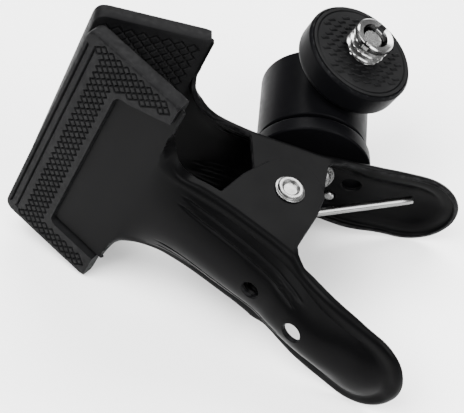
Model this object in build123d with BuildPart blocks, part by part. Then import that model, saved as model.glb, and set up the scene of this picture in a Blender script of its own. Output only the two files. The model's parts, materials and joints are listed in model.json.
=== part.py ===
from build123d import *
from math import atan2, cos, radians, sin, tan
import os

os.makedirs("parts", exist_ok=True)

# Spring clamp with a small ball head, lying on its side on a table. All sizes in mm.
# The two levers are pressed sheet steel. Each lever has its own frame: origin on the
# pivot, x towards the handle, z outwards, y across. Row frame: x along the clamp,
# z up, and the ball head on the +y side.

# ---- driving dimensions -------------------------------------------------------------
half_angle = 14.2          # each lever from the plane between the jaws
side_tilt = 19.07          # lean of the clamp's middle line when it lies on its side
pivot_x = 11.693          # pivot centre in the row frame
pivot_y = -11.404
pivot_z = 21.714
sheet = 1.2                # lever sheet thickness

web_height = 19.0          # lever web above the pivot
lower_half_width = 12.8    # across the outer ears
upper_half_width = 11.4    # across the inner ears
neck_top = 6.2             # half width of the flat along the neck's crest
neck_crease = 13.8         # height where the sloped shoulder meets the side
shoulder_start = -14.5     # the jaw plate has turned into the ridged neck
web_start = -25.0
neck_start = -21.5
ear_radius = 8.3
ear_front = -10.8
ear_back = 9.3
ear_foot = 12.4            # height of the flange's free edge beside the ears
handle_start = 13.5        # the neck has narrowed to the handle
handle_middle = 23.0
grip_x = 35.4              # centre of the handle's rounded end
grip_half_width = 11.9
grip_edge_depth = 1.5      # free edge below the crest at the tip of the handle
lower_rises = (1.1, 2.6, 1.6)    # the handle's crest above the neck's: start, middle and end
upper_rises = (0.0, 0.0, 1.0)    # flat under the ball head

jaw_reach = 52.8           # pivot to jaw tip
jaw_tilt = 5.5             # jaw plate against the handle
grip_height = 13.55        # gripping face above the pivot at the jaw tip
pad_width = 67.0
pad_depth = 25.8
pad_thickness = 3.7
grip_layer = 1.5           # rubber between the jaw plate and the gripping face
pad_lip = 2.0              # rubber round the jaw plate's edges
window_start = 12.2        # bare plate inside the pad's outer frame
window_width = 49.8
plate_end = 31.5
neck_corner = 4.0          # concave corner between jaw plate and neck
pad_slot_gap = 0.1

rivet_radius = 2.5
rivet_head_radius = 3.6
rivet_head = 1.1
pivot_bore = 2.55
washer_thickness = 0.8
wire_radius = 0.85
coil_radius = 5.2
coil_pitch = 1.78
coil_turns = 8
leg_end_x = 34.1
leg_end_y = -1.5

thread_hole_x = 6.8        # threaded hole in the lower lever
plain_hole_x = 19.6
thread_hole_radius = 2.55
plain_hole_radius = 2.5

head_x = 9.0               # ball head axis on the upper lever
collar_radius = 14.2
collar_height = 4.5
housing_radius = 13.0
housing_bore = 10.2
groove = 0.7
head_height = 25.7
ball_radius = 9.5
ball_depth = 5.9           # ball centre below the rim
ball_gap = 0.3
stem_radius = 4.0
notch_half_width = 5.5
notch_turn = 7.4           # notch direction, from straight across towards the handle
disc_radius = 13.4
disc_back = 13.5           # from the ball centre
disc_face = 22.1
platform_pad_thickness = 1.0
stud_radius = 3.1
adapter_radius = 4.76      # 3/8 inch outside thread
adapter_bore = 3.2
adapter_length = 6.4

# ---- frames -------------------------------------------------------------------------
lean = radians(side_tilt)
clamp_x = Vector(cos(lean), 0, -sin(lean))
clamp_z = Vector(0, 1, 0)
pivot = Vector(pivot_x, pivot_y, pivot_z)
spread = radians(half_angle)
upper_frame = Plane(
    origin=pivot,
    x_dir=clamp_x * cos(spread) + clamp_z * sin(spread),
    z_dir=clamp_z * cos(spread) - clamp_x * sin(spread),
)
lower_frame = Plane(
    origin=pivot,
    x_dir=clamp_x * cos(spread) - clamp_z * sin(spread),
    z_dir=clamp_z * -cos(spread) - clamp_x * sin(spread),
)
clamp_frame = Plane(origin=pivot, x_dir=clamp_x, z_dir=clamp_z)
away = clamp_frame.y_dir


def moved(frame, x, y, z, turn=0):
    """The frame at a local point, its x axis lifted by turn degrees."""
    return Plane(frame.location * Location((x, y, z), (0, -turn, 0)))


def side_of(frame):
    """The lever's side view: x along the lever, y outwards."""
    return Plane(origin=frame.origin, x_dir=frame.x_dir, z_dir=-frame.y_dir)


def write(part, name):
    part.label = name
    export_step(part, f"parts/{name}.step")


# ---- pressed steel levers -----------------------------------------------------------
def stations(half_width, rises):
    """Cross-sections along the lever: x, half width, crease height, half width and height of the crest."""
    flat = (half_width, web_height - 1.1, half_width - 0.8, web_height)
    ridge = (half_width, neck_crease, neck_top, web_height)
    start_top, middle_top, grip_top = (web_height + rise for rise in rises)
    return [
        (web_start, *flat),
        (neck_start, *flat),
        (shoulder_start, *ridge),
        (ear_back + 0.3, *ridge),
        (handle_start, grip_half_width - 1.6, start_top - 3.2, neck_top + 1.4, start_top),
        (handle_middle, grip_half_width - 0.6, middle_top - 2.8, grip_half_width - 3.2, middle_top),
        (grip_x, grip_half_width, grip_top - 2.6, grip_half_width - 2.0, grip_top),
    ]


def shoulder(half, crease, crest, top, inset):
    """Crest and crease of one side, moved inwards by the sheet thickness."""
    slope = atan2(top - crease, half - crest)
    drop = (inset + sin(slope) * (half - inset - crest)) / cos(slope)
    crest_in = crest - inset * tan(slope / 2)
    return (crest_in, top - inset), (half - inset, top - drop)


def trough(frame, sections, inset, bottom):
    """A solid ridge: the lever's neck and handle before it is hollowed."""
    with BuildPart() as ridge:
        for x, *section in sections:
            crest, side = shoulder(*section, inset)
            centre = frame.from_local_coords((x, 0, 0))
            with BuildSketch(Plane(origin=centre, x_dir=frame.y_dir, z_dir=frame.x_dir)):
                with BuildLine():
                    Polyline((0, bottom), (side[0], bottom), side, crest, (0, crest[1]))
                    mirror(about=Plane.YZ)
                make_face()
        loft(ruled=True)
        # rounded end of the handle
        end = moved(frame, grip_x, 0, 0)
        with BuildSketch(side_of(end)):
            Polygon((0, bottom), (side[0], bottom), side, crest, (0, crest[1]), align=None)
        revolve(axis=Axis(end.origin, end.z_dir), revolution_arc=360)
    return ridge.part


def jaw_frame(frame):
    """On the gripping face at the jaw tip, x back towards the pivot."""
    return moved(frame, -jaw_reach, 0, grip_height, jaw_tilt)


def lever(frame, half_width, holes, rises):
    sections = stations(half_width, rises)
    outer = trough(frame, sections, 0, -ear_radius - 1)
    inner = trough(frame, sections, sheet, -ear_radius - 2)
    under_web = web_height - sheet
    clear_above = web_height + max(rises) + 1
    handle_end = grip_x + grip_half_width
    plate = jaw_frame(frame)
    with BuildPart() as body:
        add(outer)
        add(inner, mode=Mode.SUBTRACT)
        # side view of the flanges and the two ears
        with BuildSketch(side_of(frame)):
            with BuildLine():
                Polyline(
                    (web_start, clear_above),
                    (web_start, under_web - 0.2),
                    (neck_start, under_web - 2.6),
                    (ear_front, ear_foot),
                    (-ear_radius, 1.0),
                )
                ThreePointArc((-ear_radius, 1.0), (0, -ear_radius), (ear_radius, 0.5))
                Polyline(
                    (ear_radius, 0.5),
                    (ear_back, ear_foot),
                    (handle_start, ear_foot + 0.5 + rises[0]),
                    (handle_end + 1, web_height + rises[-1] - grip_edge_depth),
                    (handle_end + 1, clear_above),
                    (web_start, clear_above),
                )
            make_face()
        extrude(amount=grip_half_width + 2, both=True, mode=Mode.INTERSECT)
        # jaw plate with its concave neck
        with BuildSketch(plate.offset(grip_layer)) as blade:
            plate_half = pad_width / 2 - pad_lip
            with Locations(((pad_lip + pad_depth + 1) / 2, 0)):
                Rectangle(pad_depth + 1 - pad_lip, 2 * plate_half)
            with Locations((plate_end - 3, 0)):
                Rectangle(6, 2 * half_width - 0.6)
            rear = [v for v in blade.vertices() if abs(v.X - pad_depth - 1) < 0.01]
            fillet([v for v in rear if abs(v.Y) < plate_half - 1], neck_corner)
            fillet([v for v in blade.vertices() if abs(v.Y) > plate_half - 1], 3)
        extrude(amount=sheet)
        # rivet bores through both ears, then the holes in the web
        with BuildSketch(side_of(frame)):
            Circle(pivot_bore)
        extrude(amount=half_width + 1, both=True, mode=Mode.SUBTRACT)
        for x, y, radius in holes:
            with BuildSketch(frame.offset(under_web - 1)):
                with Locations((x, y)):
                    Circle(radius)
            extrude(amount=sheet + max(rises) + 2, mode=Mode.SUBTRACT)
    return body.part


# ball head screw and locating pin pass through the upper web
screw_radius = 3.0
pin_radius = 1.5
pin_reach = 7.0            # from the ball head axis towards the handle
pin_side = 5.5             # across, to the far side
hole_gap = 0.1

lower_holes = [(thread_hole_x, 0, thread_hole_radius), (plain_hole_x, 0, plain_hole_radius)]
upper_holes = [
    (head_x, 0, screw_radius + hole_gap),
    (plain_hole_x, 0, plain_hole_radius),
    (head_x + pin_reach, pin_side, pin_radius + hole_gap),
]
write(lever(lower_frame, lower_half_width, lower_holes, lower_rises), "lower_lever")
write(lever(upper_frame, upper_half_width, upper_holes, upper_rises), "upper_lever")

# ---- rubber jaw pads ----------------------------------------------------------------
window_corner = 2.0
pad_edge = 0.7


def jaw_pad(frame):
    jaw = jaw_frame(frame)
    slot_half = pad_width / 2 - pad_lip + pad_slot_gap
    slot_start = pad_lip - pad_slot_gap
    with BuildPart() as pad:
        with BuildSketch(jaw) as outline:
            with Locations((pad_depth / 2, 0)):
                Rectangle(pad_depth, pad_width)
            fillet(outline.vertices().group_by(Axis.X)[0], 3)
        extrude(amount=pad_thickness)
        fillet(pad.edges().filter_by(GeomType.LINE).filter_by(Axis((0, 0, 0), jaw.y_dir)), pad_edge)
        with BuildSketch(jaw.offset(grip_layer)) as slot:
            with Locations(((slot_start + pad_depth + 1) / 2, 0)):
                Rectangle(pad_depth + 1 - slot_start, 2 * slot_half)
            fillet(slot.vertices().group_by(Axis.X)[0], 3)
        extrude(amount=sheet, mode=Mode.SUBTRACT)
        with BuildSketch(jaw.offset(grip_layer + sheet)) as window:
            with Locations(((window_start + pad_depth + 1) / 2, 0)):
                Rectangle(pad_depth + 1 - window_start, window_width)
            fillet(window.vertices().group_by(Axis.X)[0], window_corner)
        extrude(amount=pad_thickness, mode=Mode.SUBTRACT)
    return pad.part


write(jaw_pad(lower_frame), "lower_jaw_pad")
write(jaw_pad(upper_frame), "upper_jaw_pad")

# ---- pivot rivet, its washer, spacer sleeve and torsion spring ----------------------
rivet_frame = Plane(origin=pivot, x_dir=clamp_x, z_dir=-away)
dish_radius = 2.0
dish_depth = 0.7
washer_radius = 4.6
near_ear = lower_half_width
far_ear = -lower_half_width

with BuildPart() as pivot_rivet:
    with BuildSketch(rivet_frame.offset(far_ear - washer_thickness)):
        Circle(rivet_radius)
    extrude(amount=2 * lower_half_width + washer_thickness)
    with BuildSketch(rivet_frame.offset(near_ear)):
        Circle(rivet_head_radius)
    extrude(amount=rivet_head)
    with BuildSketch(rivet_frame.offset(far_ear - washer_thickness)):
        Circle(rivet_head_radius)
    extrude(amount=-rivet_head)
    ends = pivot_rivet.faces().sort_by(Axis(pivot, -away))
    fillet(ends[-1].edges() + ends[0].edges(), 0.5)
    with BuildSketch(rivet_frame.offset(near_ear + rivet_head)):
        Circle(dish_radius)
    extrude(amount=-dish_depth, taper=30, mode=Mode.SUBTRACT)
write(pivot_rivet.part, "pivot_rivet")

with BuildPart() as rivet_washer:
    with BuildSketch(rivet_frame.offset(far_ear)):
        Circle(washer_radius)
        Circle(pivot_bore, mode=Mode.SUBTRACT)
    extrude(amount=-washer_thickness)
write(rivet_washer.part, "rivet_washer")

sleeve_radius = 3.8
sleeve_gap = 0.15
with BuildPart() as spacer_sleeve:
    with BuildSketch(rivet_frame):
        Circle(sleeve_radius)
        Circle(pivot_bore, mode=Mode.SUBTRACT)
    extrude(amount=upper_half_width - sheet - sleeve_gap, both=True)
write(spacer_sleeve.part, "spacer_sleeve")

# the leg leaves the coil at a tangent and ends against the inside of the web
leg_end_z = web_height - sheet - wire_radius - 0.1
leg_rise = 18.45
tangent_x = -coil_radius * sin(radians(leg_rise))
tangent_z = coil_radius * cos(radians(leg_rise))
leg_turn = half_angle + leg_rise
coil_total = coil_turns + (180 - 2 * leg_turn) / 360
coil_length = coil_pitch * coil_total
coil_start = Plane(
    origin=pivot - away * (coil_length / 2),
    x_dir=(lower_frame.x_dir * tangent_x + lower_frame.z_dir * tangent_z).normalized(),
    z_dir=away,
)


def leg_end(frame):
    """Where a leg ends inside a lever, seen from the start of the coil."""
    return coil_start.to_local_coords(frame.from_local_coords((leg_end_x, leg_end_y, leg_end_z)))


with BuildPart() as bent_wire:
    with BuildLine() as centre_line:
        coil = Helix(coil_pitch, coil_length, coil_radius)
        Line(leg_end(lower_frame), coil @ 0)
        Line(coil @ 1, leg_end(upper_frame))
    path = centre_line.wire()
    with BuildSketch(Plane(origin=path @ 0, z_dir=path % 0)):
        Circle(wire_radius)
    sweep(path=path, is_frenet=True)

with BuildPart() as torsion_spring:
    add(coil_start.location * bent_wire.part)
write(torsion_spring.part, "torsion_spring")

# ---- clinch nut behind the threaded hole --------------------------------------------
nut_height = 3.0
with BuildPart() as clinch_nut:
    with BuildSketch(lower_frame.offset(web_height - sheet)):
        with Locations((thread_hole_x, 0)):
            RegularPolygon(5.2, 6)
            Circle(thread_hole_radius, mode=Mode.SUBTRACT)
    extrude(amount=-nut_height)
write(clinch_nut.part, "clinch_nut")

# ---- ball head ----------------------------------------------------------------------
head = moved(upper_frame, head_x, 0, web_height)
spigot_radius = 9.9
spigot_height = 8.5
screw_depth = 12.0
with BuildPart() as head_collar:
    with BuildSketch(head):
        Circle(collar_radius)
    extrude(amount=collar_height)
    fillet(head_collar.faces().sort_by(Axis(head.origin, head.z_dir))[-1].edges(), 0.6)
    with BuildSketch(head.offset(collar_height)):
        Circle(spigot_radius)
    extrude(amount=spigot_height - collar_height)
    with BuildSketch(head):
        Circle(screw_radius)
        with Locations((pin_reach, pin_side)):
            Circle(pin_radius)
    extrude(amount=3.0, mode=Mode.SUBTRACT)
    with BuildSketch(head):
        Circle(screw_radius)
    extrude(amount=spigot_height - 1, mode=Mode.SUBTRACT)
write(head_collar.part, "head_collar")

with BuildPart() as locating_pin:
    with BuildSketch(head.offset(-sheet - 1.2)):
        with Locations((pin_reach, pin_side)):
            Circle(pin_radius)
    extrude(amount=sheet + 1.2 + 3.0)
    fillet(locating_pin.faces().sort_by(Axis(head.origin, head.z_dir))[0].edges(), 0.5)
write(locating_pin.part, "locating_pin")

lock_washer = 0.7
screw_head_radius = 5.0
screw_head = 1.8
with BuildPart() as screw_washer:
    with BuildSketch(head.offset(-sheet)):
        Circle(screw_head_radius + 0.8)
        Circle(screw_radius + hole_gap, mode=Mode.SUBTRACT)
    extrude(amount=-lock_washer)
write(screw_washer.part, "screw_washer")

with BuildPart() as head_screw:
    with BuildSketch(head.offset(-sheet - lock_washer)):
        Circle(screw_head_radius)
    extrude(amount=-screw_head)
    fillet(head_screw.faces().sort_by(Axis(head.origin, head.z_dir))[0].edges(), 1.2)
    with BuildSketch(head.offset(-sheet - lock_washer)):
        Circle(screw_radius)
    extrude(amount=sheet + lock_washer + spigot_height - 1)
    with BuildSketch(head.offset(-sheet - lock_washer - screw_head)):
        Rectangle(6.5, 1.2)
        Rectangle(1.2, 6.5)
    extrude(amount=1.4, mode=Mode.SUBTRACT)
write(head_screw.part, "head_screw")

with BuildPart() as twist_washer:
    with BuildSketch(head.offset(collar_height)):
        Circle(housing_radius - 0.9)
        Circle(spigot_radius + 0.1, mode=Mode.SUBTRACT)
    extrude(amount=groove - 0.05)
write(twist_washer.part, "twist_washer")

# notch frame: on the ball centre, x out through the notch, z up the head
ball_height = head_height - ball_depth
notch = Plane(head.location * Location((0, 0, ball_height), (0, 0, -90 + notch_turn)))

with BuildPart() as head_housing:
    with BuildSketch(head.offset(collar_height + groove)):
        Circle(housing_radius)
        Circle(housing_bore, mode=Mode.SUBTRACT)
    extrude(amount=ball_height - collar_height - groove)
    with BuildSketch(head.offset(ball_height)):
        Circle(housing_radius)
    extrude(amount=ball_depth)
    fillet(head_housing.faces().sort_by(Axis(head.origin, head.z_dir))[-1].edges(), 0.8)
    with Locations(notch):
        Sphere(ball_radius + ball_gap, mode=Mode.SUBTRACT)
    with BuildSketch(Plane(origin=notch.origin, x_dir=notch.y_dir, z_dir=notch.x_dir)):
        Circle(notch_half_width)
        with Locations((0, ball_depth)):
            Rectangle(2 * notch_half_width, 2 * ball_depth)
    extrude(amount=housing_radius + 2, mode=Mode.SUBTRACT)
write(head_housing.part, "head_housing")

cup_bottom = 9.5
cup_top = 14.6
with BuildPart() as ball_cup:
    with BuildSketch(head.offset(cup_bottom)):
        Circle(housing_bore - 0.2)
    extrude(amount=cup_top - cup_bottom)
    with Locations(notch):
        Sphere(ball_radius + 0.15, mode=Mode.SUBTRACT)
write(ball_cup.part, "ball_cup")

with BuildPart() as cup_spring:
    with BuildSketch(head.offset(cup_bottom)):
        Circle(8.8)
        Circle(5.0, mode=Mode.SUBTRACT)
    extrude(amount=-0.8)
write(cup_spring.part, "cup_spring")

# stem frame: z out along the stem, from the ball centre
stem = Plane(origin=notch.origin, x_dir=notch.z_dir, z_dir=notch.x_dir)
with BuildPart() as ball_stem:
    with Locations(stem):
        Sphere(ball_radius)
    with BuildSketch(stem):
        Circle(stem_radius)
    extrude(amount=disc_back)
write(ball_stem.part, "ball_stem")

disc_seat = disc_face - platform_pad_thickness
disc_lip = 0.8
with BuildPart() as platform_disc:
    with BuildSketch(Plane(origin=stem.origin, x_dir=stem.z_dir, z_dir=stem.y_dir)):
        with BuildLine():
            Polyline(
                (disc_back, 0),
                (disc_back, disc_radius - 2.6),
                (disc_back + 0.5, disc_radius - 1.2),
                (disc_back + 1.8, disc_radius),
                (disc_face - 0.7, disc_radius),
                (disc_face - 0.2, disc_radius - 0.4),
                (disc_face - 0.2, disc_radius - disc_lip),
                (disc_seat, disc_radius - disc_lip),
                (disc_seat, 0),
                (disc_back, 0),
            )
        make_face()
    revolve(axis=Axis(stem.origin, stem.z_dir))
    with BuildSketch(stem.offset(disc_seat)):
        Circle(stud_radius)
    extrude(amount=-5.0, mode=Mode.SUBTRACT)
write(platform_disc.part, "platform_disc")

with BuildPart() as platform_pad:
    with BuildSketch(stem.offset(disc_seat)):
        Circle(disc_radius - disc_lip)
        Circle(stud_radius + 0.1, mode=Mode.SUBTRACT)
    extrude(amount=platform_pad_thickness)
write(platform_pad.part, "platform_pad")

adapter_seat = disc_face + 0.1
adapter_end = adapter_seat + adapter_length
stud_end = adapter_end - 1.4
with BuildPart() as camera_stud:
    with BuildSketch(stem.offset(disc_seat - 5.0)):
        Circle(stud_radius)
    extrude(amount=stud_end - disc_seat + 5.0)
    chamfer(camera_stud.faces().sort_by(Axis(stem.origin, stem.z_dir))[-1].edges(), 0.6)
write(camera_stud.part, "camera_stud")

slot_width = 1.6
slot_depth = 2.4
with BuildPart() as thread_adapter:
    with BuildSketch(stem.offset(adapter_seat)):
        Circle(adapter_radius)
        Circle(adapter_bore, mode=Mode.SUBTRACT)
    extrude(amount=adapter_length)
    outside = thread_adapter.edges().filter_by(GeomType.CIRCLE).sort_by(Axis(stem.origin, stem.z_dir))[-2:]
    chamfer(outside.sort_by(SortBy.RADIUS)[-1], 0.5)
    with BuildSketch(stem.offset(adapter_end)):
        Rectangle(slot_width, 3 * adapter_radius)
    extrude(amount=-slot_depth, mode=Mode.SUBTRACT)
write(thread_adapter.part, "thread_adapter")
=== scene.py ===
import json
import math

import bmesh
import bpy
import numpy as np
from mathutils import Matrix, Vector, geometry, noise


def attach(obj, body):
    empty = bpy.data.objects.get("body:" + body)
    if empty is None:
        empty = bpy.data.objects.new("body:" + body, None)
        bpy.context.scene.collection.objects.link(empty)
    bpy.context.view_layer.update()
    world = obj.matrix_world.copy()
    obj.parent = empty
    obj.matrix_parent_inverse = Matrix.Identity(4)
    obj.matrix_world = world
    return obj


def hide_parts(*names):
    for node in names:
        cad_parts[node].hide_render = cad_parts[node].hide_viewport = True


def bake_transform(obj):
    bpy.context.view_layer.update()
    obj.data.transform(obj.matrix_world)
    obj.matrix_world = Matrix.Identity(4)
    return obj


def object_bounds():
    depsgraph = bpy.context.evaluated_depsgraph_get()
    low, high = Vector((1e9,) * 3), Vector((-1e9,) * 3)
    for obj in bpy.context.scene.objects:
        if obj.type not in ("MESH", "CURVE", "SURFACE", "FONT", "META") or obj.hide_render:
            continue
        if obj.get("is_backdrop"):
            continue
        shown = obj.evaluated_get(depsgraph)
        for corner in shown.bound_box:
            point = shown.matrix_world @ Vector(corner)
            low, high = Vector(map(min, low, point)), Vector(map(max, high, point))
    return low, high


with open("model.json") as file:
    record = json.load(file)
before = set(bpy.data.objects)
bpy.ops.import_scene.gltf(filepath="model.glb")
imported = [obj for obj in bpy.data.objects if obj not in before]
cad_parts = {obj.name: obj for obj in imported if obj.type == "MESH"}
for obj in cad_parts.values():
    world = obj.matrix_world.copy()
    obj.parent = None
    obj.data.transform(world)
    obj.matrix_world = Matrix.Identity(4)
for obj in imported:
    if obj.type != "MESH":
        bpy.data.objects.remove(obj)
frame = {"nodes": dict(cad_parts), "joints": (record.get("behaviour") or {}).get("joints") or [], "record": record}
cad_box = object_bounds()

# Spring clamp with a small ball head. Shapes are in millimetres in a local frame of their
# own, and a frame's matrix takes them to metres in the row frame.
MM = 0.001
SHEET = 1.2                # lever sheet
WEB = 19.0                 # crest of a lever's neck above the pivot
REACH = 52.8               # pivot to jaw tip
JAW_TILT = math.radians(5.5)
GRIP_HEIGHT = 13.55        # gripping face above the pivot, at the tip
GRIP_LAYER = 1.5           # rubber between the jaw plate and the gripping face
PAD = {"width": 67.0, "depth": 25.8, "thick": 3.7}
NECK_END = 9.5             # the neck widens to the handle from here
HANDLE_START = 13.5
HANDLE_MIDDLE = 23
GRIP_X = 34.6              # centre of the handle's rounded end
GRIP_HALF = 11.5           # half the width of that end
HEAD_X = 9.0               # axis of the ball head
THREAD_HOLE_X = 6.8        # the lower lever's threaded hole
PLAIN_HOLE_X = 19.6        # the plain hole in each handle
RIVET_HOLE = 2.55          # radius
EAR_RADIUS = 8.3
BAY = {"front": -26.0, "rear": -17.0, "wide": 11.5}     # round notch between jaw plate and side wall
SKEW = 1.5                 # how far the lower jaw's near side sits back

# ---- frames ----
joints = {j["name"]: j for j in frame["joints"]}


def local_frame(origin, x, z):
    """Millimetres in the local frame to metres in the row frame."""
    x, z = Vector(x).normalized(), Vector(z).normalized()
    y = z.cross(x)
    turn = Matrix((x, y, z)).transposed().to_4x4()
    return Matrix.Translation(origin) @ turn @ Matrix.Scale(MM, 4)


def shifted(matrix, x, y, z, turn=0.0):
    """The same frame at another local point, its x axis lifted by turn."""
    return matrix @ Matrix.Translation((x, y, z)) @ Matrix.Rotation(-turn, 4, "Y")


pivot = Vector(joints["lever_pivot"]["pos_m"])
away = Vector(joints["lever_pivot"]["axis"])
upper_z = Vector(joints["head_turn"]["axis"])
upper_x = away.cross(upper_z)
mirror = Vector((1, -1, 1))
UPPER = local_frame(pivot, upper_x, upper_z)
LOWER = local_frame(pivot, upper_x * mirror, upper_z * mirror)
RIVET = local_frame(pivot, away.cross(Vector((0, 1, 0))), -away)
HEAD = shifted(UPPER, HEAD_X, 0, WEB)
ball_centre = Vector(joints["ball_tilt"]["pos_m"])
stem_axis = Vector(joints["platform_spin"]["axis"])
stem_x = upper_z - stem_axis * upper_z.dot(stem_axis)
STEM = local_frame(ball_centre, stem_x, stem_axis)


def jaw_of(lever):
    """Frame of a pad: x back from the jaw's tip, z out from the gripping face."""
    return shifted(lever, -REACH, 0, GRIP_HEIGHT, JAW_TILT)


# ---- materials ----
def put(node, **values):
    """Sets a node's plain inputs by name."""
    for name, value in values.items():
        node.inputs[name].default_value = value


class Paint:
    """A node material: colour, roughness and bump are built up from procedural textures."""

    def __init__(self, name, metallic=0.0, specular=0.5):
        self.material = bpy.data.materials.new(name)
        self.material.use_nodes = True
        self.nodes = self.material.node_tree.nodes
        self.links = self.material.node_tree.links
        self.shader = self.nodes["Principled BSDF"]
        put(self.shader, **{"Metallic": metallic, "Specular IOR Level": specular})
        self.place = self.nodes.new("ShaderNodeTexCoord").outputs["Object"]
        self.height = None

    def grain(self, scale, detail=3.0, roughness=0.55, stretch=None, distortion=0.0):
        """Noise over the surface. Stretch draws it out along an axis of the row frame."""
        place = self.place
        if stretch:
            mapping = self.nodes.new("ShaderNodeMapping")
            put(mapping, Scale=stretch)
            self.links.new(place, mapping.inputs["Vector"])
            place = mapping.outputs["Vector"]
        made = self.nodes.new("ShaderNodeTexNoise")
        put(made, Scale=scale, Detail=detail, Roughness=roughness, Distortion=distortion)
        self.links.new(place, made.inputs["Vector"])
        return made.outputs["Fac"]

    def ramp(self, source, low=0, high=1, start=0.3, end=0.7):
        """The source's span from start to end, stretched to run from low to high."""
        made = self.nodes.new("ShaderNodeMapRange")
        put(made, **{"From Min": start, "From Max": end, "To Min": low, "To Max": high})
        self.links.new(source, made.inputs["Value"])
        return made.outputs["Result"]

    def tint(self, factor, first, second):
        """Base colour from one colour to another. The second stands in where nodes aren't read."""
        made = self.nodes.new("ShaderNodeMix")
        made.data_type = "RGBA"
        self.links.new(factor, made.inputs["Factor"])
        put(made, A=(*first, 1), B=(*second, 1))
        put(self.shader, **{"Base Color": (*second, 1)})
        self.links.new(made.outputs["Result"], self.shader.inputs["Base Color"])

    def rough(self, source, low, high):
        put(self.shader, Roughness=high)
        self.links.new(self.ramp(source, low, high), self.shader.inputs["Roughness"])

    def relief(self, source, depth, strength=1.0):
        """Adds a layer of bump, depth in metres."""
        made = self.nodes.new("ShaderNodeBump")
        put(made, Distance=depth, Strength=strength)
        self.links.new(source, made.inputs["Height"])
        if self.height is not None:
            self.links.new(self.height, made.inputs["Normal"])
        self.height = made.outputs["Normal"]
        self.links.new(self.height, self.shader.inputs["Normal"])

    def painted(self, name):
        """A value that the mesh carries, such as where an edge is worn."""
        made = self.nodes.new("ShaderNodeAttribute")
        made.attribute_name = name
        return made.outputs["Fac"]

    def both(self, first, second):
        """Where two values are high at once."""
        made = self.nodes.new("ShaderNodeMath")
        made.operation = "MULTIPLY"
        made.use_clamp = True
        self.links.new(first, made.inputs[0])
        self.links.new(second, made.inputs[1])
        return made.outputs["Value"]


def black_paint():
    """Satin black powder coat, thin and slightly worn on the sheet's edges."""
    paint = Paint("black_paint", specular=0.025)
    worn = paint.both(paint.painted("worn"), paint.ramp(paint.grain(900, 5, 0.7), start=0.42, end=0.6))
    paint.tint(worn, (0.0011, 0.0011, 0.0012), (0.009, 0.009, 0.0094))
    paint.rough(paint.grain(70, 4), 0.33, 0.42)
    paint.relief(paint.grain(1400, 2), 0.00002, 0.35)
    paint.relief(paint.grain(260, 2), 0.00005, 0.25)
    return paint


def jaw_rubber():
    """Moulded rubber with a dry, dusty surface."""
    rubber = Paint("jaw_rubber", specular=0.05)
    dust = rubber.ramp(rubber.grain(140, 6, 0.65), start=0.35, end=0.75)
    rubber.tint(dust, (0.002, 0.002, 0.0022), (0.0046, 0.0046, 0.0048))
    rubber.rough(rubber.grain(900), 0.46, 0.66)
    rubber.relief(rubber.grain(3200, 4, 0.7), 0.00003, 0.5)
    return rubber


def plated_steel():
    """Zinc plate with a cloudy tone."""
    steel = Paint("plated_steel", metallic=1.0)
    steel.tint(steel.ramp(steel.grain(260, 5)), (0.12, 0.12, 0.119), (0.2, 0.2, 0.198))
    steel.rough(steel.grain(700, 4, 0.7), 0.2, 0.36)
    steel.relief(steel.grain(1800), 0.000003, 0.05)
    return steel


def spring_wire():
    """Drawn wire: its grain runs along the leg."""
    wire = Paint("spring_wire", metallic=1.0)
    along = (0.25, 0.25, 1.6)
    lines = wire.grain(900, stretch=along)
    wire.tint(wire.ramp(lines), (0.13, 0.13, 0.129), (0.2, 0.2, 0.198))
    wire.rough(lines, 0.24, 0.32)
    wire.relief(wire.grain(1500, 2, stretch=along), 0.000002, 0.03)
    return wire


def anodised_black():
    """Blasted and anodised aluminium, with brighter turned edges."""
    metal = Paint("anodised_black", specular=0.016)
    worn = metal.both(metal.painted("worn"), metal.ramp(metal.grain(800, 4, 0.7), start=0.5, end=0.66))
    metal.tint(worn, (0.0018, 0.0018, 0.0021), (0.01, 0.01, 0.0105))
    metal.rough(metal.grain(500, 4), 0.33, 0.43)
    metal.relief(metal.grain(5200, 2), 0.000012, 0.5)
    return metal


def black_nylon():
    """Moulded nylon of the cup under the ball."""
    nylon = Paint("black_nylon")
    nylon.tint(nylon.grain(300, 4), (0.006, 0.006, 0.006), (0.014, 0.014, 0.014))
    nylon.rough(nylon.grain(900), 0.5, 0.7)
    nylon.relief(nylon.grain(2400), 0.00003, 0.5)
    return nylon


def ball_metal():
    """Polished ball with faint rubbed marks."""
    ball = Paint("ball_metal", metallic=1.0)
    ball.tint(ball.ramp(ball.grain(160, 5)), (0.36, 0.36, 0.36), (0.58, 0.58, 0.58))
    ball.rough(ball.grain(420, 5, 0.7, distortion=1.5), 0.12, 0.3)
    ball.relief(ball.grain(1500), 0.00001, 0.3)
    return ball


def platform_rubber():
    """Smooth dark rubber of the platform's face and its dashes."""
    rubber = Paint("platform_rubber", specular=0.06)
    rubber.tint(rubber.ramp(rubber.grain(200, 6)), (0.0018, 0.0018, 0.002), (0.0042, 0.0042, 0.0044))
    rubber.rough(rubber.grain(800), 0.45, 0.62)
    rubber.relief(rubber.grain(3000, 4, 0.7), 0.00002, 0.5)
    return rubber


def bright_chrome():
    """Bright plate with faint tool marks."""
    chrome = Paint("bright_chrome", metallic=1.0)
    chrome.tint(chrome.ramp(chrome.grain(300, 4)), (0.2, 0.2, 0.198), (0.3, 0.3, 0.297))
    chrome.rough(chrome.grain(700), 0.17, 0.22)
    chrome.relief(chrome.grain(1500, 2), 0.000002, 0.03)
    return chrome


MATERIALS = {
    make.__name__: make().material
    for make in (
        black_paint, jaw_rubber, plated_steel, spring_wire, anodised_black,
        black_nylon, ball_metal, platform_rubber, bright_chrome,
    )
}
SLOT_OF = {part["node"]: part["material_slot"] for part in frame["record"]["subparts"]}


# ---- mesh helpers ----
def add_object(name, data):
    made = bpy.data.objects.new(name, data)
    bpy.context.scene.collection.objects.link(made)
    return made


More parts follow.
